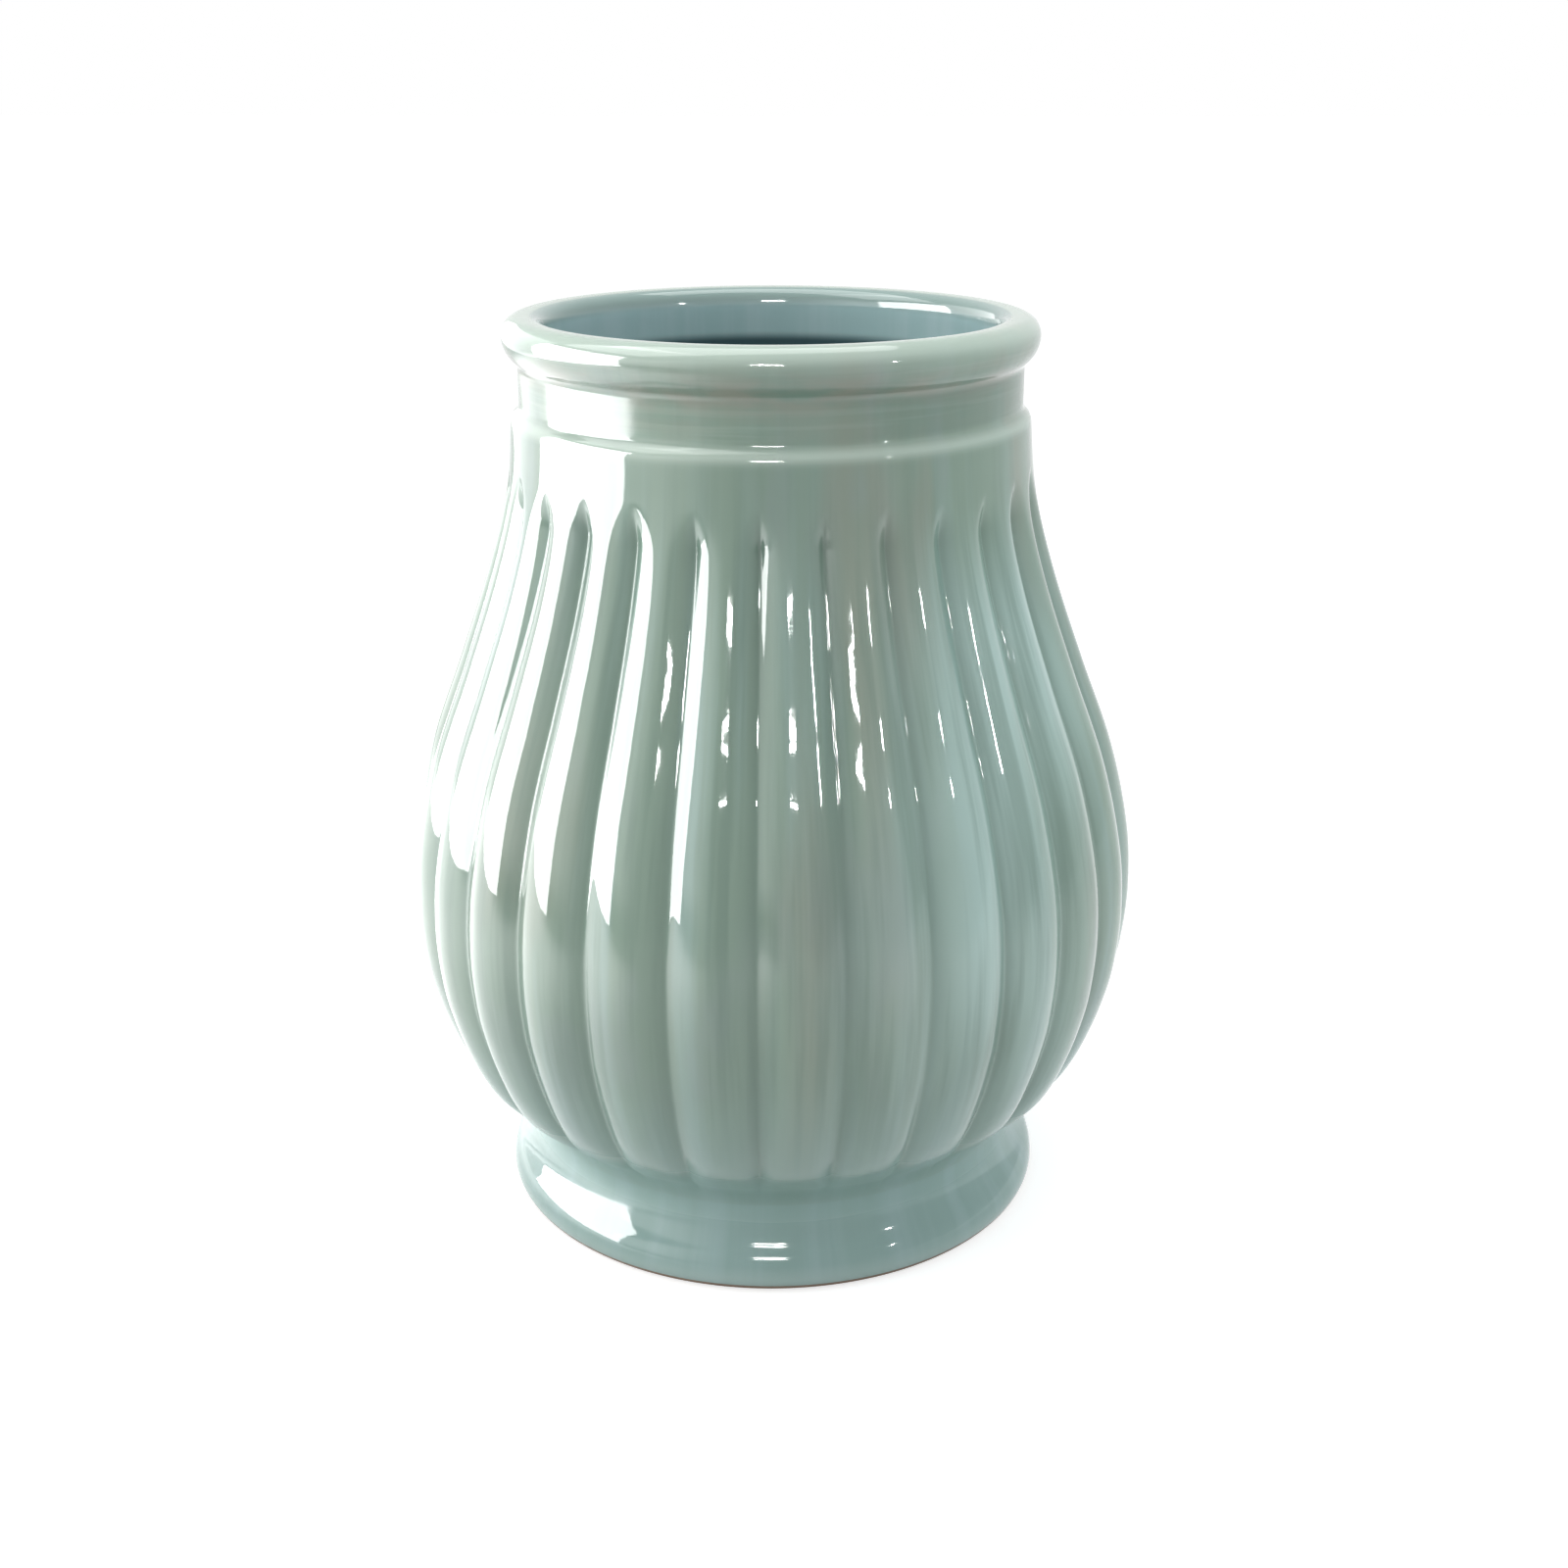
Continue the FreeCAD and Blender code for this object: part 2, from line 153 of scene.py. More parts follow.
def hermite(radii, heights, at, first_slope=None):
    """Radius at the given heights, on a smooth cubic through the points."""
    radii, heights, at = (np.asarray(v, float) for v in (radii, heights, at))
    last = len(radii) - 1
    low = np.maximum(np.arange(last + 1) - 1, 0)
    high = np.minimum(np.arange(last + 1) + 1, last)
    slopes = (radii[high] - radii[low]) / (heights[high] - heights[low])
    if first_slope is not None:
        slopes[0] = first_slope
    i = np.clip(np.searchsorted(heights, at, side="left") - 1, 0, last - 1)
    span = heights[i + 1] - heights[i]
    w = (at - heights[i]) / span
    return ((2 * w**3 - 3 * w**2 + 1) * radii[i] + (w**3 - 2 * w**2 + w) * span * slopes[i]
            + (3 * w**2 - 2 * w**3) * radii[i + 1] + (w**3 - w**2) * span * slopes[i + 1])


def crown_points():
    """Radius and height of the points that the crowns of the lobes pass through."""
    points = [(CREASE_RADIUS + swell * (BELLY_RADIUS - CREASE_RADIUS),
               FOOT_HEIGHT + rise * (BELLY_HEIGHT - FOOT_HEIGHT)) for rise, swell in HEEL_SHARES]
    points += [(LEDGE_RADIUS + swell * (BELLY_RADIUS - LEDGE_RADIUS),
                BELLY_HEIGHT + rise * (LEDGE_START - BELLY_HEIGHT))
               for rise, swell in SHOULDER_SHARES]
    return np.array(points)


CROWN = crown_points()


def crown_radius(heights):
    """Radius of the body at its crowns."""
    return hermite(CROWN[:, 0], CROWN[:, 1], heights, first_slope=0.0)


def inner_radius(heights):
    """The wall inside the body, a body wall in from the crowns."""
    inside = [(FLOOR_RADIUS, FOOT_HEIGHT + FLOOR_ROUND)]
    inside += [(r - BODY_WALL, z) for r, z in CROWN if FOOT_HEIGHT + 2 * FLOOR_ROUND < z < GROOVE_TOP]
    inside.append((MOUTH_RADIUS, LEDGE_HEIGHT - SPIGOT_DEPTH))
    inside = np.array(inside)
    return hermite(inside[:, 0], inside[:, 1], heights)


def soft_step(way):
    """0 below 0 and 1 above 1, with a soft way between them."""
    way = np.clip(way, 0.0, 1.0)
    return way * way * (3 - 2 * way)


def arc(start, end, centre_height, count=24):
    """Points on the arc from start to end whose centre lies at this height."""
    (x0, z0), (x1, z1) = start, end
    x = (x1**2 - x0**2 + (z1 - centre_height)**2 - (z0 - centre_height)**2) / (2 * (x1 - x0))
    reach = math.hypot(x0 - x, z0 - centre_height)
    first = math.atan2(z0 - centre_height, x0 - x)
    last = math.atan2(z1 - centre_height, x1 - x)
    if last - first > math.pi:
        last -= 2 * math.pi
    if last - first < -math.pi:
        last += 2 * math.pi
    return [(x + reach * math.cos(t), centre_height + reach * math.sin(t))
            for t in np.linspace(first, last, count + 1)]


def square_corner(top, inner):
    """From the top of the lip to the mouth, over an edge that is squarer than an arc."""
    turn = np.linspace(0, math.pi / 2, 40)[1:-1]
    line = [(top[0] - (top[0] - inner[0]) * math.sin(t) ** LIP_EDGE_POWER,
             inner[1] + (top[1] - inner[1]) * math.cos(t) ** LIP_EDGE_POWER) for t in turn]
    return line + [inner]


def resampled(line, gap):
    """Points along the line, a gap apart."""
    line = np.asarray(line, float)
    way = np.r_[0, np.cumsum(np.hypot(*np.diff(line, axis=0).T))]
    spots = np.linspace(0, way[-1], int(way[-1] / gap) + 1)
    return np.c_[np.interp(spots, way, line[:, 0]), np.interp(spots, way, line[:, 1])]


def softened(line, reach):
    """The line with its corners filled and rounded, as a coat of glaze does."""
    count = int(4 * reach / LINE_GAP)
    weights = np.exp(-0.5 * (np.arange(-count, count + 1) * LINE_GAP / reach) ** 2)
    weights /= weights.sum()
    soft = line.copy()
    for k in (0, 1):
        v = line[:, k]
        padded = np.r_[2 * v[0] - v[count:0:-1], v, 2 * v[-1] - v[-2:-count - 2:-1]]
        soft[:, k] = np.convolve(padded, weights, mode="valid")
    return soft


def outer_line():
    """The glazed outside, from the contact ring up over the lip and down into the neck."""
    edge = (FOOT_RADIUS, FOOT_EDGE_HEIGHT)
    flare = (FLARE_RADIUS, FLARE_HEIGHT)
    bulge = (LIP_RADIUS, LIP_BULGE)
    top = (LIP_TOP_RADIUS, OVERALL_HEIGHT)
    inner = (MOUTH_RADIUS, LIP_INNER_HEIGHT)
    body = np.arange(FOOT_HEIGHT + LEVEL_GAP, LEDGE_START - LEVEL_MARGIN, LEVEL_GAP)
    collar = np.linspace(LEDGE_HEIGHT + LEVEL_MARGIN, LIP_JOINT, 50)
    neck = np.linspace(LIP_INNER_HEIGHT - LEVEL_GAP, LIP_JOINT - SPIGOT_DEPTH, 30)
    line = arc((CONTACT_OUTER, 0), edge, FOOT_EDGE_HEIGHT)
    line += arc(edge, flare, FOOT_EDGE_HEIGHT)[1:]
    line += arc(flare, (CREASE_RADIUS, FOOT_HEIGHT), FOOT_HEIGHT)[1:]
    line += list(zip(crown_radius(body), body))
    line += arc((LEDGE_RADIUS, LEDGE_START), (COLLAR_RADIUS, LEDGE_HEIGHT), LEDGE_START)
    line += [(COLLAR_RADIUS, z) for z in collar]
    line += arc((COLLAR_RADIUS, LIP_JOINT), bulge, LIP_BULGE)[1:]
    line += arc(bulge, top, LIP_BULGE)[1:]
    line += square_corner(top, inner)
    line += [(MOUTH_RADIUS, z) for z in neck]
    line = resampled(line, LINE_GAP)
    glazed = softened(line, GLAZE_SOFTENING)
    for height, reach, softening in CREASE_SOFTENING:
        near = np.exp(-0.5 * ((line[:, 1] - height) / reach) ** 2)
        near *= line[:, 0] > OUTSIDE_FROM_RADIUS
        glazed = glazed + (softened(line, softening) - glazed) * near[:, None]
    glazed[0] = line[0]
    return glazed


OUTER = outer_line()
LIP_TOP_AT = int(np.argmax(OUTER[:, 1]))


def place_of(height):
    """The place in the outer line of a height below the top of the lip."""
    rising = OUTER[:LIP_TOP_AT + 1, 1]
    return 0.0 if height <= 0 else np.interp(height, rising, np.arange(len(rising)))


def outer_part(start, stop, gap):
    """Points along the outer line between two places in it, a gap apart."""
    count = max(2, int(round((stop - start) * LINE_GAP / gap)) + 1)
    places = np.linspace(start, stop, count)
    index = np.arange(len(OUTER))
    return np.c_[np.interp(places, index, OUTER[:, 0]), np.interp(places, index, OUTER[:, 1])]


# The lobes, each a little different as hand work is

LOBE_TOPS = rng.uniform(-0.6, 0.6, LOBES)
LOBE_BOTTOMS = rng.uniform(-0.2, 0.9, LOBES)
VALLEY_DEPTHS = rng.uniform(0.95, 1.05, LOBES)
WAVES = [(rng.integers(1, 9), rng.uniform(0, WAVE_TURN), rng.uniform(45, 110), rng.uniform(0, WAVE_TURN))
         for _ in range(WAVE_COUNT)]


def lobe_turns():
    """Angles from the -Y side round the axis, closer together at the valleys."""
    way = np.arange(LOBE_COLUMNS) / LOBE_COLUMNS
    way = EVEN_SHARE * way + (1 - EVEN_SHARE) * (1 - np.cos(math.pi * way)) / 2
    return np.concatenate([(k + way) * LOBE_STEP for k in range(LOBES)])


def round_turns():
    """Angles from the -Y side round the axis, evenly spaced."""
    return np.arange(ROUND_COLUMNS) * 2 * math.pi / ROUND_COLUMNS


def valley_shape(turns, height):
    """How deep in a valley each point is, from 0 on the crowns to about 1 in the valleys."""
    place = turns / LOBE_STEP
    near = np.round(place).astype(int) % LOBES
    away = np.abs(place - np.round(place)) * 2
    away = np.sqrt(away**2 + VALLEY_ROUNDING**2)
    top = GROOVE_TOP + LOBE_TOPS[near][None, :] - height
    bottom = height - GROOVE_BOTTOM - LOBE_BOTTOMS[near][None, :]
    depth = soft_step(top / GROOVE_FADE_TOP) * soft_step(bottom / GROOVE_RUN_OUT)
    narrow = VALLEY_POWER + TOP_NARROWING * np.exp(-np.clip(top, 0, 99) / TOP_NARROWING_REACH)
    narrow = narrow + BOTTOM_NARROWING * np.exp(-np.clip(bottom, 0, 99) / BOTTOM_NARROWING_REACH)
    valley = np.clip(1 - away, 0, 1)[None, :] ** narrow
    return depth * valley * VALLEY_DEPTHS[near][None, :]


def wall_inset(turns, height):
    """How far the wavy wall lies inside the profile."""
    wave = sum(np.sin(n * turns[None, :] + a) * np.sin(height / length * WAVE_TURN + b)
               for n, a, length, b in WAVES) / WAVE_COUNT
    fade = soft_step((height - FOOT_HEIGHT) / WAVE_FADE_BOTTOM)
    fade = fade * soft_step((LEDGE_START - height) / WAVE_FADE_TOP)
    return (WAVE_INSET - WAVE_DEPTH * wave) * fade


def lobed_surface(line, turns):
    """Points of the lobed outside, and how deep in a valley each of them is."""
    radius, height = line[:, :1], line[:, 1:]
    valley = valley_shape(turns, height)
    radius = radius - LOBE_DEPTH * valley - wall_inset(turns, height)
    points = np.stack([radius * np.sin(turns), -radius * np.cos(turns),
                       np.broadcast_to(height, radius.shape)], -1)
    return points, valley


def turned_surface(line, turns):
    """Points of the line turned round the axis."""
    radius, height = line[:, :1], line[:, 1:]
    return np.stack([radius * np.sin(turns), -radius * np.cos(turns),
                     np.broadcast_to(height, (len(line), len(turns)))], -1)


def grid_normals(points):
    """Normals of a grid that goes round in its columns."""
    across = np.roll(points, -1, 1) - np.roll(points, 1, 1)
    way = np.r_[0, np.cumsum(np.linalg.norm(np.diff(points[:, 0], axis=0), axis=-1))]
    along = np.gradient(points, way, axis=0)
    normals = np.cross(across, along)
    return normals / np.maximum(np.linalg.norm(normals, axis=-1, keepdims=True), 1e-12)


# Strips of a surface: points, normals or None, and what the glaze does there, painted shade included

def bands(heights, places):
    """The strongest of some soft bands, each with its height, reach and strength."""
    return np.max([strength * np.exp(-0.5 * ((heights - centre) / reach) ** 2)
                   for centre, reach, strength in places], axis=0)


def shade_inside(height):
    """How dark the inside is at a height: the light stops a little below the lip."""
    return 1 - soft_step((height - SHADE_HEIGHT) / SHADE_REACH)


def glaze_and_painted_light_values(line, valley):
    """What the glaze does along a line of the outside, with painted shade under the lip and inside the
    mouth, and a painted highlight on the lip top.
    """
    radius, height = line[:, :1], line[:, 1:]
    past_top = np.arange(len(line))[:, None] > np.argmax(height)
    inside = soft_step((INSIDE_RADIUS - radius) / INSIDE_REACH) * past_top
    pool = np.clip(VALLEY_POOL * valley ** VALLEY_POOL_POWER, 0, 1)
    # Under the lip the mark adds painted shade over the glaze pooled there.
    pool = np.maximum(pool, bands(height, POOL_AND_SHADE_BANDS))
    # Inside the mouth the mark holds only painted shade, darker further down.
    pool = np.maximum(pool * (1 - inside), shade_inside(height) * inside)
    return {"pool": pool, "thin_glaze_and_painted_highlight": bands(height, THIN_GLAZE_AND_HIGHLIGHT_BANDS), "bare": 1.0 * (height < BARE_HEIGHT),
            "warm": bands(height, WARM_BANDS), "inside": inside}


def outside(low, high, gap, lobed=False):
    """The strip of the glazed outside between two heights, or over the lip if high is None."""
    turns = lobe_turns() if lobed else round_turns()
    start, stop = place_of(low), len(OUTER) - 1 if high is None else place_of(high)
    line = outer_part(start, stop, gap)
    before, after = 2 * line[:1] - line[1:2], 2 * line[-1:] - line[-2:-1]
    if low > 0:
        before = outer_part(place_of(low - gap), start, gap)[:1]
    if high is not None:
        after = outer_part(stop, place_of(high + gap), gap)[-1:]
    line = np.concatenate([before, line, after])
    if lobed:
        points, valley = lobed_surface(line, turns)
    else:
        points, valley = turned_surface(line, turns), np.zeros((len(line), 1))
    normals = grid_normals(points)
    values = glaze_and_painted_light_values(line, valley)
    return points[1:-1], normals[1:-1], {key: value[1:-1] for key, value in values.items()}


def plain(corners, turns, gap=None, **values):
    """A strip through corners of the hidden or inner outline."""
    line = np.array(corners, float) if gap is None else resampled(corners, gap)
    return turned_surface(line, turns), None, values


def inner_wall(corners, turns, gap):
    """A strip of the inside, which the light leaves as it goes down."""
    line = resampled(corners, gap)
    # Here the mark holds painted shade, darker further down the inside.
    return turned_surface(line, turns), None, {"inside": 1.0, "pool": shade_inside(line[:, 1:])}


def chained(*strips):
    """The strips with flat ones between them, so that each starts where the one before it ends."""
    joined = []
    for strip, following in zip(strips, strips[1:] + strips[:1]):
        joined.append(strip)
        joined.append((np.stack([strip[0][-1], following[0][0]]), None, {}))
    return [strip for strip in joined
            if len(strip[0]) > 2 or np.abs(strip[0][0] - strip[0][-1]).max() > SAME_PLACE]


# One closed mesh for each piece, put together from strips that share their end rows

def build_piece(name, node, strips, material):
    """A piece from strips that go round its section, from the first to the last and back."""
    columns = strips[0][0].shape[1]
    total = sum(len(points) - 1 for points, _, _ in strips)
    turn = np.arange(columns)
    following = (turn + 1) % columns
    rows, faces, corner_normals = [], [], []
    marks = {key: [] for key in GLAZE_AND_PAINTED_LIGHT_MARKS}
    before = {}
    for points, normals, values in strips:
        if normals is None:
            normals = grid_normals(points)
        for k in range(len(points) - 1):
            low, high = len(rows), (len(rows) + 1) % total
            faces.append(np.stack([low * columns + turn, low * columns + following,
                                   high * columns + following, high * columns + turn], -1))
            corner_normals.append(np.stack([normals[k], normals[k][following],
                                            normals[k + 1][following], normals[k + 1]], 1))
            rows.append(points[k])
            for key, column in marks.items():
                shared = k == 0 and key in before
                value, row = (before[key], -1) if shared else (values.get(key, 0.0), k)
                column.append(np.broadcast_to(value[row] if np.ndim(value) else value, columns))
        before = values
    marks = {key: np.concatenate(column) for key, column in marks.items()}
    mesh = new_piece(name, node, np.concatenate(rows), np.concatenate(faces).tolist(), marks,
                     material)
    mesh.normals_split_custom_set(np.concatenate(corner_normals).reshape(-1, 3).tolist())


def new_piece(name, node, points, faces, marks, material):
    """A smooth glazed piece that stands for a node, with the marks of its glaze and of its painted light
    and shade.
    """
    mesh = bpy.data.meshes.new(name)
    mesh.from_pydata((points * MM).tolist(), [], faces)
    mesh.polygons.foreach_set("use_smooth", [True] * len(mesh.polygons))
    for key, values in marks.items():
        layer = mesh.attributes.new(key, "FLOAT", "POINT")
        layer.data.foreach_set("value", values.astype(np.float32))
    mesh.materials.append(material)
    piece = bpy.data.objects.new(name, mesh)
    bpy.context.scene.collection.objects.link(piece)
    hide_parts(node)
    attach(piece, "root")
    return mesh


# Node trees

def linear(*rgb):
    """An sRGB colour of 0 to 255 as the linear numbers that shaders take."""
    return tuple((c / 255 / 12.92) if c / 255 <= 0.04045 else ((c / 255 + 0.055) / 1.055) ** 2.4
                 for c in rgb) + (1.0,)


class Nodes:
    """A short way to write the node tree of a material, a lamp or the world."""

    def __init__(self, owner):
        owner.use_nodes = True
        self.tree = owner.node_tree
        self.tree.nodes.clear()

    def connect(self, node, inputs):
        """Sets inputs of a node to a value or to another node's output."""
        for key, value in inputs.items():
            if hasattr(value, "is_output"):
                self.tree.links.new(value, node.inputs[key])
            else:
                node.inputs[key].default_value = value

    def add(self, kind, inputs=(), **settings):
        node = self.tree.nodes.new(kind)
        for key, value in settings.items():
            setattr(node, key, value)
        self.connect(node, dict(inputs))
        return node

    def math(self, operation, a, b=0.0, clamp=False):
        return self.add("ShaderNodeMath", {0: a, 1: b}, operation=operation,
                        use_clamp=clamp).outputs[0]

    def times(self, first, *others):
        """The product of outputs and numbers."""
        for other in others:
            first = self.math("MULTIPLY", first, other)
        return first

    def mix(self, share, a, b):
        """The colour a, with this share of it replaced by b."""
        return self.add("ShaderNodeMix", {0: share, 6: a, 7: b}, data_type="RGBA",
                        blend_type="MIX").outputs[2]

    def noise(self, coordinates, scale, detail=3.0, stretch=(1, 1, 1), shift=(0, 0, 0)):
        spots = self.add("ShaderNodeMapping", {"Vector": coordinates, "Scale": stretch,
                                               "Location": shift}).outputs[0]
        return self.add("ShaderNodeTexNoise", {"Vector": spots, "Scale": scale,
                                               "Detail": detail}).outputs["Fac"]

    def vector(self, operation, *inputs):
        return self.add("ShaderNodeVectorMath", dict(enumerate(inputs)),
                        operation=operation).outputs[0]

    def down_the_wall(self, coordinates):
        """Coordinates that only change round the axis and with height, so streaks run down."""
        flat = self.vector("MULTIPLY", coordinates, (1, 1, 0))
        around = self.vector("NORMALIZE", flat)
        upright = self.vector("MULTIPLY", coordinates, (0, 0, 1))
        return self.vector("MULTIPLY_ADD", around, (0.09, 0.09, 0), upright)

    def ramp(self, value, none, full):
        """0 up to one value and 1 from the other on, with a soft way between them."""
        return self.add("ShaderNodeMapRange", {"Value": value, "From Min": none, "From Max": full},
                        interpolation_type="SMOOTHSTEP").outputs[0]

    def attribute(self, name):
        return self.add("ShaderNodeAttribute", attribute_name=name,
                        attribute_type="GEOMETRY").outputs["Fac"]

    def seen(self):
        """1 for rays that show the surroundings: straight, mirrored or passed through."""
        path = self.add("ShaderNodeLightPath").outputs
        seen = self.math("ADD", path["Is Camera Ray"], path["Is Glossy Ray"], clamp=True)
        return self.math("ADD", seen, path["Is Transmission Ray"], clamp=True)


# The glaze: places in metres where something in it goes from none to full

LOBED_BOTTOM, LOBED_TOP = (0.022, 0.040), (0.222, 0.180)
COLLAR_BOTTOM, COLLAR_TOP = (0.2265, 0.2285), (0.2385, 0.2365)
# The collar is painted darker on its right side, as painted shade.
COLLAR_PAINTED_SHADE = (0.005, 0.050)
RINGS_FROM = (0.220, 0.226)
# The lower body is painted bluer like the foot glaze and paler, as a painted reflection of the pale
# floor.
LOW_TINT_AND_PAINTED_REFLECTION = (0.085, 0.028)
# Where the body is painted paler and bluer on its right side, as painted light.
PAINTED_LIGHT_SIDE, PAINTED_LIGHT_SIDE_END, PAINTED_LIGHT_TOP = (0.015, 0.068), (0.092, 0.070), (0.212, 0.175)
DULL_BOTTOM, DULL_TOP = (0.014, 0.021), (0.058, 0.032)
INNER_EDGE = (0.2440, 0.2475)
# INNER_DEPTH: where the painted shade inside goes from the darker neck colour to a lighter one further
# down.
INNER_DEPTH = (0.234, 0.185)

LILAC = linear(148, 160, 161)
# The paler, bluer colour of the painted light on the right side.
RIGHT_PAINTED_LIGHT = linear(179, 206, 200)
# The lower body colours: bluer like the foot glaze, and paler as a painted reflection of the floor.
LOW_DARK, LOW_PALE = linear(140, 168, 162), linear(152, 178, 176)
RUSSET = linear(158, 150, 138)
# The inside is painted in lit copies of the glaze under the lip and shaded copies further down, as
# painted light and shade.
INNER_DARK, INNER_PALE = linear(170, 200, 201), linear(180, 206, 208)
INNER_EDGE_COLOUR = linear(140, 163, 158)
NECK_SHADE, BODY_SHADE = linear(66, 92, 97), linear(128, 158, 150)
CLAY_DARK, CLAY_PALE = linear(96, 80, 66), linear(136, 114, 94)

GLAZE_IOR = 1.54
LEAST_ROUGHNESS, ROUGHNESS_RANGE = 0.035, 0.05
LOBED_SMOOTHER = 0.55
CREASE_DULLER, COLLAR_DULLER, BARE_DULLER = 0.32, 0.11, 0.65
BUMP_STRENGTH, BUMP_HEIGHT = 0.35, 0.00025


class Glaze(Nodes):
    """A glossy grey-green glaze: deep where it pools, pale where it is thinner, with painted shade
    inside, under the lip and on the collar's right side, a painted highlight on the lip top, a painted
    reflection of the floor on the lower body and painted light on the right side.
    """

    def __init__(self, material, body, deep, pale, warm, cool):
        super().__init__(material)
        self.body, self.deep, self.pale, self.warm, self.cool = body, deep, pale, warm, cool
        self.where = self.add("ShaderNodeTexCoord").outputs["Object"]
        self.spot = self.add("ShaderNodeSeparateXYZ", {"Vector": self.where}).outputs
        self.marks = {key: self.attribute(key) for key in GLAZE_AND_PAINTED_LIGHT_MARKS}
        self.flow = self.down_the_wall(self.where)
        self.streaks = self.noise(self.flow, 80.0, 4.0, (1, 1, 0.06), (2.3, 0.4, 0.9))
        self.clouds = self.noise(self.flow, 18.0, 3.0, (1, 1, 0.35), (0.3, 0.1, 0.2))
        self.grain = self.noise(self.where, 900.0, 2.0)
        self.lobed = self.zone("Z", LOBED_TOP, LOBED_BOTTOM)
        self.collar = self.zone("Z", COLLAR_BOTTOM, COLLAR_TOP)
        bare = self.math("ADD", self.marks["bare"], self.times(self.grain, 0.3))
        self.bare = self.ramp(bare, 0.45, 0.75)

    def zone(self, axis, *edges):
        """1 in a zone along an axis, with soft edges that go from none to full."""
        return self.times(*(self.ramp(self.spot[axis], *edge) for edge in edges))

    def outer_colour(self):
        """The layers of the outside, each laid over the one before it with its share."""
        fine = self.noise(self.flow, 210.0, 3.0, (1, 1, 0.05))
        tint = self.noise(self.flow, 38.0, 2.0, (1, 1, 0.25), (1.3, 2.1, 0.7))
        lilac = self.noise(self.flow, 42.0, 3.0, (1, 1, 0.4), (1.7, 5.2, 2.1))
        rings = self.noise(self.where, 60.0, 3.0, (0.25, 0.25, 9), (0.7, 0.2, 0.4))
        russet = self.noise(self.where, 55.0, 3.0, (1, 1, 3), (0.2, 0.9, 0.1))
        run = self.math("ADD", self.times(self.lobed, 0.70), 0.30)
        # Painted light: the right side of the body paler and bluer, mottled by the clouds.
        right = self.times(self.zone("X", PAINTED_LIGHT_SIDE), self.zone("Z", PAINTED_LIGHT_TOP),
                           self.zone("X", PAINTED_LIGHT_SIDE_END), self.ramp(self.clouds, 0.70, 0.40))
        # Lower body colour: bluer like the foot glaze, and paler as a painted reflection of the floor.
        low = self.mix(self.ramp(self.streaks, 0.40, 0.66), LOW_DARK, LOW_PALE)
        layers = [
            (self.times(self.ramp(self.streaks, 0.42, 0.64), 0.80, run), self.cool),
            (self.times(self.ramp(tint, 0.50, 0.74), 0.50), self.warm),
            (self.times(self.ramp(lilac, 0.54, 0.70), 0.35), LILAC),
            # Painted light on the right side.
            (self.times(right, 0.90), RIGHT_PAINTED_LIGHT),
            (self.times(self.ramp(fine, 0.42, 0.70), 0.50, run), self.deep),
            (self.times(self.ramp(rings, 0.45, 0.65), self.zone("Z", RINGS_FROM), 0.12), self.pale),
            # The lower body: foot-glaze tint and a painted reflection of the floor.
            (self.times(self.zone("Z", LOW_TINT_AND_PAINTED_REFLECTION), 0.90), low),
            (self.times(self.ramp(self.clouds, 0.38, 0.68), 0.25), self.deep),
            # Pooled glaze in the valleys, with painted shade under the lip and inside.
            (self.times(self.marks["pool"], 0.75), self.deep),
            # Paler where the glaze is thinner, and a painted highlight on the lip top.
            (self.times(self.marks["thin_glaze_and_painted_highlight"], 0.70), self.pale),
            (self.times(self.ramp(russet, 0.35, 0.65), self.marks["warm"], 0.55), RUSSET),
            # Painted shade: the right side of the collar darkened with the deep colour.
            (self.times(self.collar, self.zone("X", COLLAR_PAINTED_SHADE), 0.45), self.deep),
        ]
        colour = self.body
        for share, layer in layers:
            colour = self.mix(share, colour, layer)
        return colour

    def inner_colour(self):
        """The inside, painted as a lit copy pale under the lip and a shaded copy darker further down:
        painted light and shade.
        """
        lit = self.mix(self.ramp(self.streaks, 0.40, 0.66), INNER_DARK, INNER_PALE)
        lit = self.mix(self.zone("Z", INNER_EDGE), lit, INNER_EDGE_COLOUR)
        shaded = self.mix(self.zone("Z", INNER_DEPTH), NECK_SHADE, BODY_SHADE)
        return self.mix(self.marks["pool"], lit, shaded)

    def colour(self):
        clay = self.mix(self.noise(self.where, 420.0, 4.0), CLAY_DARK, CLAY_PALE)
        glazed = self.mix(self.ramp(self.marks["inside"], 0.0, 0.3), self.outer_colour(),
                          self.inner_colour())
        return self.mix(self.bare, glazed, clay)

    def roughness(self):
        uneven = self.times(self.noise(self.where, 45.0, 2.0), ROUGHNESS_RANGE)
        rough = self.math("ADD", uneven, LEAST_ROUGHNESS)
        rough = self.times(rough, self.math("SUBTRACT", 1.0, self.times(self.lobed, LOBED_SMOOTHER)))
        dull = self.zone("Z", DULL_BOTTOM, DULL_TOP)
        for share, more in ((dull, CREASE_DULLER), (self.collar, COLLAR_DULLER),
                            (self.bare, BARE_DULLER)):
            rough = self.math("ADD", rough, self.times(share, more), clamp=True)
        return rough

    def bump(self):
        turning = self.noise(self.where, 1.0, 2.0, (4, 4, 420))
        ripple = self.noise(self.where, 85.0, 2.0, (1, 1, 0.5))
        height = self.math("ADD", self.times(ripple, 0.8), self.times(turning, 0.05))
        height = self.math("ADD", height, self.times(self.grain, self.bare, 0.6))
        return self.add("ShaderNodeBump", {"Height": height, "Strength": BUMP_STRENGTH,
                                           "Distance": BUMP_HEIGHT}).outputs[0]


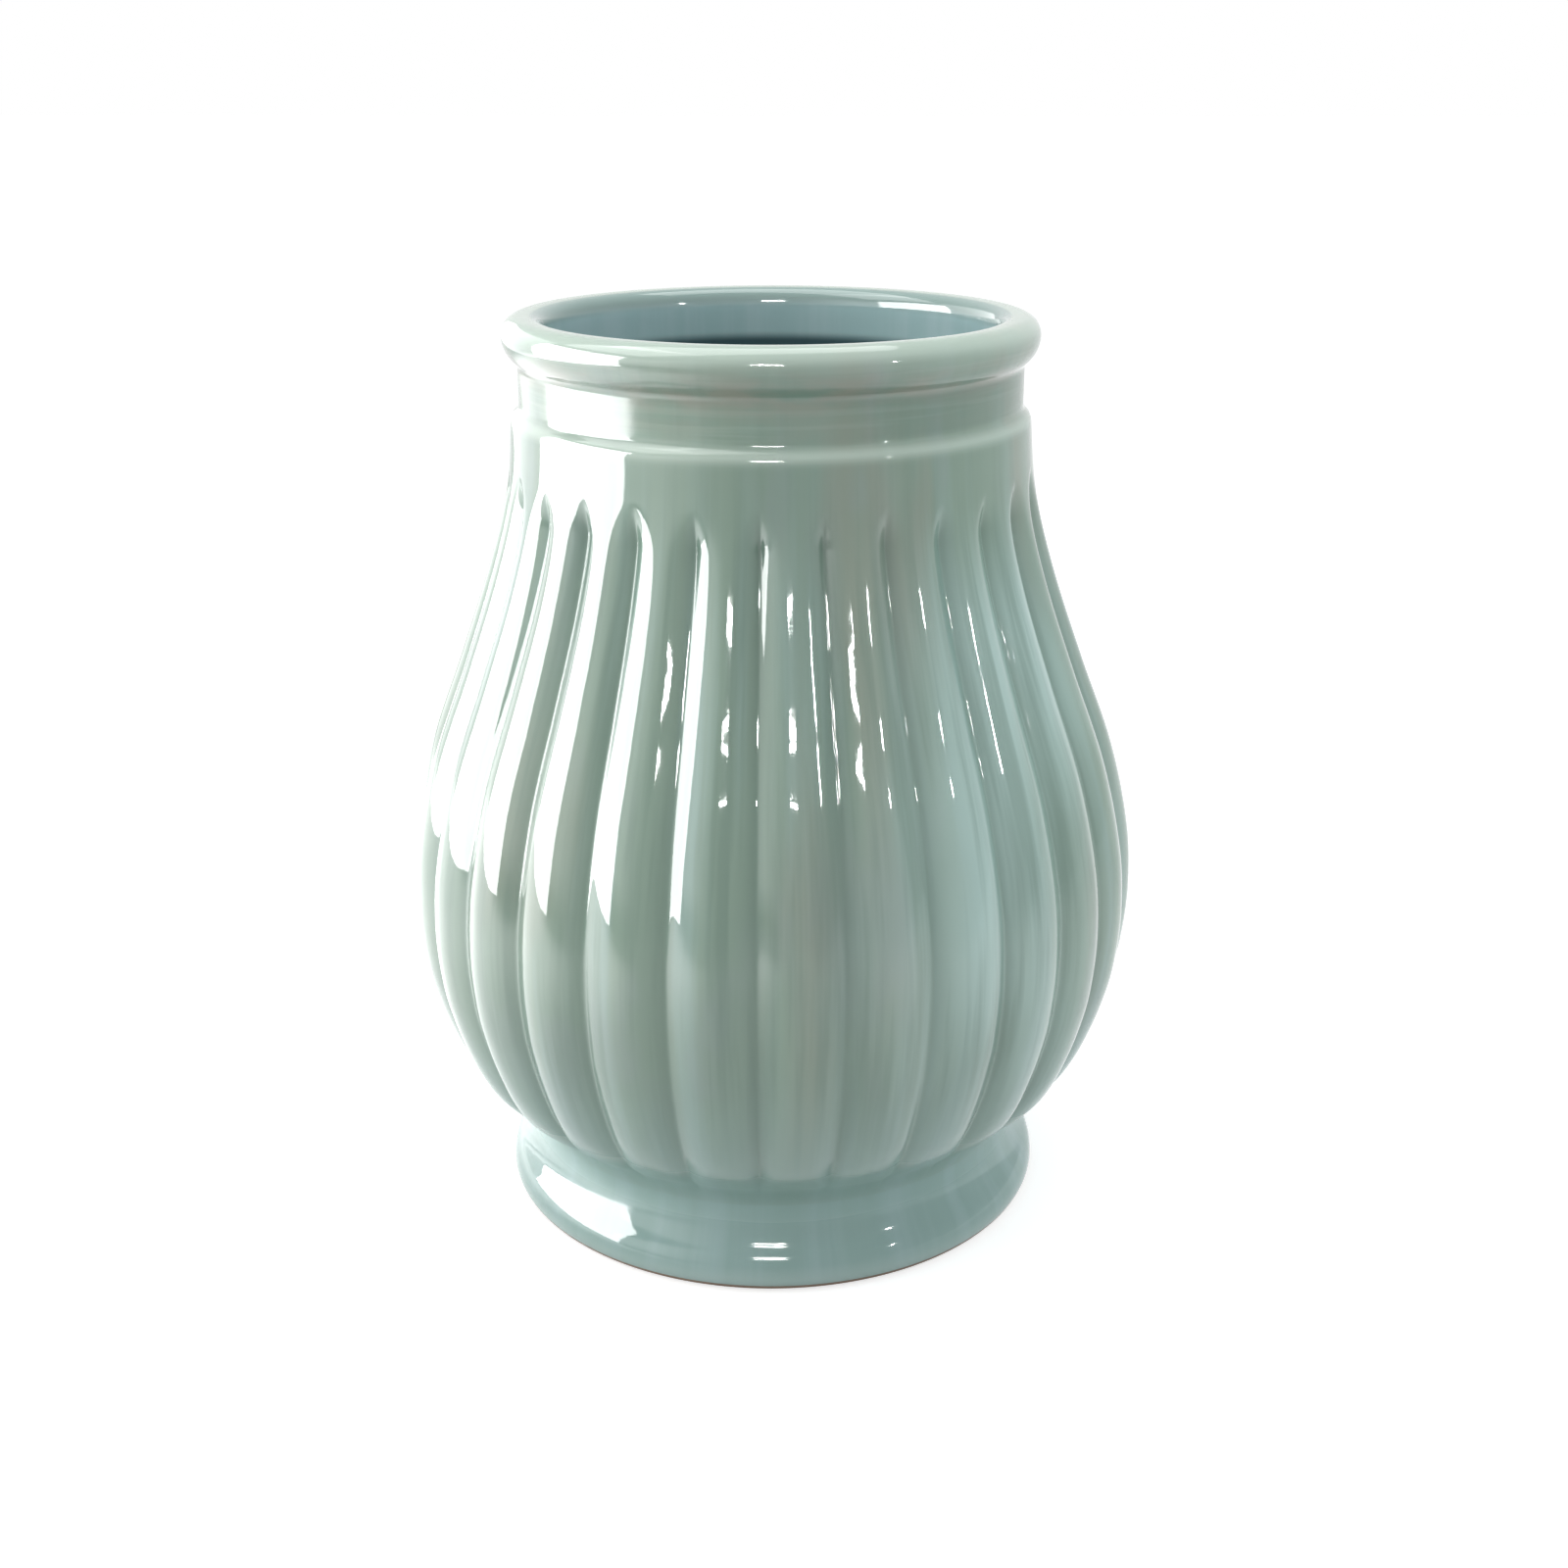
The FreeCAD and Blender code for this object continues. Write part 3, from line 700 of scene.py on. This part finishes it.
def celadon(name, **colours):
    """A glazed material with these colours."""
    material = bpy.data.materials.new(name)
    glaze = Glaze(material, **colours)
    shader = glaze.add("ShaderNodeBsdfPrincipled", {
        "Base Color": glaze.colour(), "Roughness": glaze.roughness(), "IOR": GLAZE_IOR,
        "Normal": glaze.bump()})
    glaze.add("ShaderNodeOutputMaterial", {"Surface": shader.outputs[0]})
    return material


GLAZE = celadon("celadon", body=linear(135, 158, 142), deep=linear(102, 128, 115),
                pale=linear(196, 212, 200), warm=linear(154, 151, 138), cool=linear(148, 173, 166))
FOOT_GLAZE = celadon("celadon_foot", body=linear(138, 168, 162), deep=linear(116, 148, 144),
                     pale=linear(184, 204, 198), warm=linear(156, 168, 158),
                     cool=linear(156, 182, 184))


# The pieces

def make_lip():
    turns = round_turns()
    bottom = LIP_JOINT - SPIGOT_DEPTH
    strips = chained(
        outside(LIP_JOINT, None, LIP_ROW),
        plain([(MOUTH_RADIUS, bottom), (SPIGOT_RADIUS, bottom)], turns),
        plain([(SPIGOT_RADIUS, bottom), (SPIGOT_RADIUS, LIP_JOINT)], turns))
    build_piece("glazed_lip", "rolled_lip", strips, GLAZE)


def make_collar():
    turns = round_turns()
    low, high = LEDGE_HEIGHT - SPIGOT_DEPTH, LIP_JOINT - SPIGOT_DEPTH
    strips = chained(
        outside(LEDGE_HEIGHT, LIP_JOINT, COLLAR_ROW),
        plain([(SOCKET_RADIUS, LIP_JOINT), (SOCKET_RADIUS, high)], turns),
        plain([(SOCKET_RADIUS, high), (MOUTH_RADIUS, high)], turns),
        inner_wall([(MOUTH_RADIUS, high), (MOUTH_RADIUS, low)], turns, 1.0),
        plain([(MOUTH_RADIUS, low), (SPIGOT_RADIUS, low)], turns),
        plain([(SPIGOT_RADIUS, low), (SPIGOT_RADIUS, LEDGE_HEIGHT)], turns))
    build_piece("glazed_collar", "neck_collar", strips, GLAZE)


def make_upper_body():
    turns = lobe_turns()
    low, high = LEDGE_HEIGHT - SPIGOT_DEPTH, BELLY_HEIGHT - SPIGOT_DEPTH
    levels = np.linspace(low, high, 70)
    wall = list(zip(inner_radius(levels), levels))
    strips = chained(
        outside(BELLY_HEIGHT, LEDGE_HEIGHT, BODY_ROW, lobed=True),
        plain([(SOCKET_RADIUS, LEDGE_HEIGHT), (SOCKET_RADIUS, low)], turns),
        plain([(SOCKET_RADIUS, low), wall[0]], turns),
        # The hidden inside wall is painted fully in the shaded colour, as painted shade.
        plain(wall, turns, inside=1.0, pool=1.0),
        plain([wall[-1], (BELLY_SPIGOT, high)], turns),
        plain([(BELLY_SPIGOT, high), (BELLY_SPIGOT, BELLY_HEIGHT)], turns))
    build_piece("glazed_upper_body", "upper_body", strips, GLAZE)


def make_lower_body():
    turns = lobe_turns()
    rebate = BELLY_SPIGOT + SLIP_GAP
    high = BELLY_HEIGHT - SPIGOT_DEPTH
    levels = np.linspace(high, FOOT_HEIGHT + FLOOR_ROUND, 36)
    wall = list(zip(inner_radius(levels), levels))
    centre = FLOOR_RADIUS - FLOOR_ROUND, BASE_TOP + FLOOR_ROUND
    fillet = [(centre[0] + FLOOR_ROUND * math.cos(t), centre[1] - FLOOR_ROUND * math.sin(t))
              for t in np.linspace(0, math.pi / 2, 10)]
    strips = chained(
        outside(FOOT_HEIGHT, BELLY_HEIGHT, BODY_ROW, lobed=True),
        plain([(rebate, BELLY_HEIGHT), (rebate, high)], turns),
        plain([(rebate, high), wall[0]], turns),
        # The hidden inside wall is painted fully in the shaded colour, as painted shade.
        plain(wall + fillet, turns, inside=1.0, pool=1.0),
        plain([fillet[-1], (BASE_RADIUS, BASE_TOP)], turns),
        plain([(BASE_RADIUS, BASE_TOP), (BASE_RADIUS, FOOT_HEIGHT)], turns))
    build_piece("glazed_lower_body", "lower_body", strips, GLAZE)


def make_foot():
    turns = round_turns()
    seat = BASE_RADIUS + SLIP_GAP
    bevel = (CONTACT_INNER - CONTACT_BEVEL, CONTACT_BEVEL)
    strips = chained(
        outside(0, FOOT_HEIGHT, FOOT_ROW),
        plain([(seat, FOOT_HEIGHT), (seat, BASE_UNDER)], turns),
        plain([(seat, BASE_UNDER), (FOOT_BORE, BASE_UNDER)], turns),
        plain([(FOOT_BORE, BASE_UNDER), bevel], turns, 1.0),
        plain([bevel, (CONTACT_INNER, 0)], turns, bare=1.0),
        plain([(CONTACT_INNER, 0), (CONTACT_OUTER, 0)], turns, 1.0, bare=1.0))
    build_piece("glazed_foot", "foot_ring", strips, FOOT_GLAZE)


def make_base():
    """The floor of the vase, from the middle of its underside round to the middle of its top."""
    rings = (1.5, 20, 45)
    top_bevel = 0.3
    line = [(radius, BASE_UNDER) for radius in rings]
    line.append((BASE_RADIUS - BASE_EDGE_ROUND, BASE_UNDER))
    line += [(BASE_RADIUS - BASE_EDGE_ROUND * (1 - math.sin(t)),
              BASE_UNDER + BASE_EDGE_ROUND * (1 - math.cos(t)))
             for t in np.linspace(0.2, math.pi / 2, 8)]
    line += [(BASE_RADIUS, BASE_TOP - top_bevel), (BASE_RADIUS - top_bevel, BASE_TOP)]
    line += [(radius, BASE_TOP) for radius in reversed(rings)]
    points = turned_surface(np.array(line), round_turns())
    count, columns = points.shape[:2]
    turn = np.arange(columns)
    following = (turn + 1) % columns
    faces = [[k * columns + a, k * columns + b, (k + 1) * columns + b, (k + 1) * columns + a]
             for k in range(count - 1) for a, b in zip(turn.tolist(), following.tolist())]
    faces.append(turn[::-1].tolist())
    faces.append(((count - 1) * columns + turn).tolist())
    # The floor inside is painted partly in the shaded colour, as painted shade.
    marks = {key: np.full(count * columns, {"pool": 0.6, "inside": 1.0}.get(key, 0.0))
             for key in GLAZE_AND_PAINTED_LIGHT_MARKS}
    mesh = new_piece("glazed_base", "base_disc", points.reshape(-1, 3), faces, marks,
                     GLAZE)
    mesh.set_sharp_from_angle(angle=math.radians(40))


for make in (make_lip, make_collar, make_upper_body, make_lower_body, make_foot, make_base):
    make()


# The floor, the light and the camera, with sizes and places in metres

FLOOR_REACH = 12.0
FLOOR_PAINT = 0.62
FLOOR_GLOW = 0.68
FLOOR_SHINE_HEIGHT = 0.001
AMBIENT_COLOUR, AMBIENT_STRENGTH = (0.97, 0.99, 1.0, 1), 0.56
WHITE = (1, 1, 1, 1)


def stage_floor():
    """A plain pale floor, which keeps the shadow of the vase."""
    reach = FLOOR_REACH
    mesh = bpy.data.meshes.new("studio_floor")
    mesh.from_pydata([(-reach, -reach, 0), (reach, -reach, 0), (reach, reach, 0),
                      (-reach, reach, 0)], [], [(0, 1, 2, 3)])
    material = bpy.data.materials.new("studio_white")
    n = Nodes(material)
    paint = n.add("ShaderNodeBsdfDiffuse", {"Color": (FLOOR_PAINT, FLOOR_PAINT, FLOOR_PAINT, 1)})
    glow = n.add("ShaderNodeEmission", {"Strength": n.times(n.seen(), FLOOR_GLOW)})
    both = n.add("ShaderNodeAddShader", {0: paint.outputs[0], 1: glow.outputs[0]})
    n.add("ShaderNodeOutputMaterial", {"Surface": both.outputs[0]})
    mesh.materials.append(material)
    floor = bpy.data.objects.new("studio_floor", mesh)
    bpy.context.scene.collection.objects.link(floor)


def studio_world():
    """A white surrounding to look at, and a dimmer one that lights the vase."""
    world = bpy.data.worlds.new("studio_world")
    bpy.context.scene.world = world
    n = Nodes(world)
    ambient = n.add("ShaderNodeBackground", {"Color": AMBIENT_COLOUR, "Strength": AMBIENT_STRENGTH})
    white = n.add("ShaderNodeBackground", {"Color": WHITE, "Strength": 1.0})
    both = n.add("ShaderNodeMixShader", {0: n.seen(), 1: ambient.outputs[0], 2: white.outputs[0]})
    n.add("ShaderNodeOutputWorld", {"Surface": both.outputs[0]})


def panel(name, place, aim, width, height, brightness, diffuse=True, glossy=True,
          colour=(1, 1, 1)):
    """A flat lamp with a given brightness, where 1 is the white of the backdrop."""
    lamp = bpy.data.lights.new(name, "AREA")
    lamp.shape = "RECTANGLE"
    lamp.size, lamp.size_y = width, height
    lamp.energy = brightness * math.pi * width * height
    lamp.color = colour
    holder = bpy.data.objects.new(name, lamp)
    bpy.context.scene.collection.objects.link(holder)
    holder.location = place
    back = np.array(place, float) - np.array(aim, float)
    across = np.cross((0, 0, 1), back)
    if not across.any():
        across = np.array((1.0, 0, 0))
    across = across / np.linalg.norm(across)
    back = back / np.linalg.norm(back)
    up = np.cross(back, across)
    holder.rotation_euler = Matrix((across, up, back)).transposed().to_euler()
    holder.visible_camera = False
    holder.visible_diffuse = diffuse
    holder.visible_glossy = glossy
    return lamp


def shine(name, place, aim, width, height, brightness, fades=()):
    """A lamp that is only seen as a shine in the glaze, with edges that fade along an axis."""
    lamp = panel(name, place, aim, width, height, brightness, diffuse=False)
    if fades:
        n = Nodes(lamp)
        position = n.add("ShaderNodeNewGeometry").outputs["Position"]
        spot = n.add("ShaderNodeSeparateXYZ", {"Vector": position}).outputs
        strength = n.times(*(n.ramp(spot[axis], dark, bright) for axis, dark, bright in fades))
        glow = n.add("ShaderNodeEmission", {"Strength": strength})
        n.add("ShaderNodeOutputLight", {"Surface": glow.outputs[0]})


def floor_shine(name, x_span, y_span, brightness, fades):
    """Light that lies on the floor, seen only as a shine in the glaze."""
    (x0, x1), (y0, y1) = x_span, y_span
    middle = (x0 + x1) / 2, (y0 + y1) / 2
    shine(name, (*middle, FLOOR_SHINE_HEIGHT), (*middle, 1), x1 - x0, y1 - y0, brightness, fades)


def floor_lights():
    """The sunlit floor on the window's side, and the floor on the right."""
    floor_shine("sunlit_floor_shine", (-8.0, -0.035), (-0.60, 0.75), 3.1,
                [("X", -0.035, -0.34), ("Y", -0.60, -0.20), ("Y", 0.75, 0.30)])
    floor_shine("near_floor_shine", (-0.20, -0.07), (-0.15, 0.25), 1.6,
                [("X", -0.07, -0.12), ("X", -0.20, -0.15), ("Y", -0.15, -0.08), ("Y", 0.25, 0.10)])
    floor_shine("right_floor_shine", (0.06, 0.90), (-0.60, 0.20), 0.4,
                [("X", 0.06, 0.30), ("X", 0.90, 0.45), ("Y", -0.60, -0.20), ("Y", 0.20, -0.05)])


def mirrored_lights():
    """The window, the walls, the ceiling and the small lamps that the glaze mirrors."""
    shine("front_shine", (-0.85, -0.75, 0.42), (-0.85, 0, 0.42), 1.5, 0.8, 1.7,
          [("X", -0.10, -0.80), ("Z", 0.02, 0.20), ("Z", 0.82, 0.55)])
    shine("window_shine", (-0.8, -0.078, 0.335), (0, -0.078, 0.335), 0.773, 0.63, 14.0)
    shine("wall_shine", (-0.8, 1.26, 0.4), (0, 1.26, 0.4), 1.9, 0.8, 2.1)
    shine("upper_wall_shine", (-0.7, -0.1, 1.1), (0, 0, 0.1), 0.9, 0.6, 3.2)
    shine("lamp_upper_shine", (0.012, -0.70, 0.468), (0, 0, 0.2), 0.16, 0.009, 190.0)
    shine("lamp_lower_shine", (0.012, -0.71, 0.408), (0, 0, 0.2), 0.16, 0.008, 180.0)
    shine("spot_shine", (0.841, -0.645, 0.46), (0, 0, 0.2), 0.032, 0.032, 310.0)
    shine("ceiling_shine", (-0.1, 0.2, 1.5), (0, 0, 0.2), 1.4, 1.0, 3.0)


def soft_lights():
    """Plain soft light, which leaves no shine of its own."""
    panel("window_light", (-0.9, -0.2, 0.5), (0, 0, 0.15), 0.9, 0.9, 2.6, glossy=False)
    panel("right_light", (0.9, -0.1, 0.4), (0, 0, 0.12), 0.8, 0.9, 1.1, glossy=False,
          colour=(0.82, 0.95, 1.0))
    panel("top_light", (0.0, 0.0, 1.2), (0, 0, 0.1), 0.9, 0.9, 2.0, glossy=False)


def photo_camera():
    """The camera of the photograph, fitted to the outline and to the ellipses of the rings."""
    around, distance, height = math.radians(2.35), 0.5334, 0.3121
    down, aside = math.radians(20.015), math.radians(0.3676)
    focal_pixels, picture_pixels = 2026.3, 1600
    lens = bpy.data.cameras.new("photo_camera")
    lens.sensor_width = 36.0
    lens.lens = lens.sensor_width * focal_pixels / picture_pixels
    lens.clip_start, lens.clip_end = 0.01, 100
    holder = bpy.data.objects.new("photo_camera", lens)
    bpy.context.scene.collection.objects.link(holder)
    holder.location = (distance * math.sin(around), -distance * math.cos(around), height)
    holder.rotation_euler = (math.radians(90) - down, 0, around - aside)
    bpy.context.scene.camera = holder


stage_floor()
studio_world()
floor_lights()
mirrored_lights()
soft_lights()
photo_camera()
bpy.context.scene.view_settings.view_transform = "Standard"
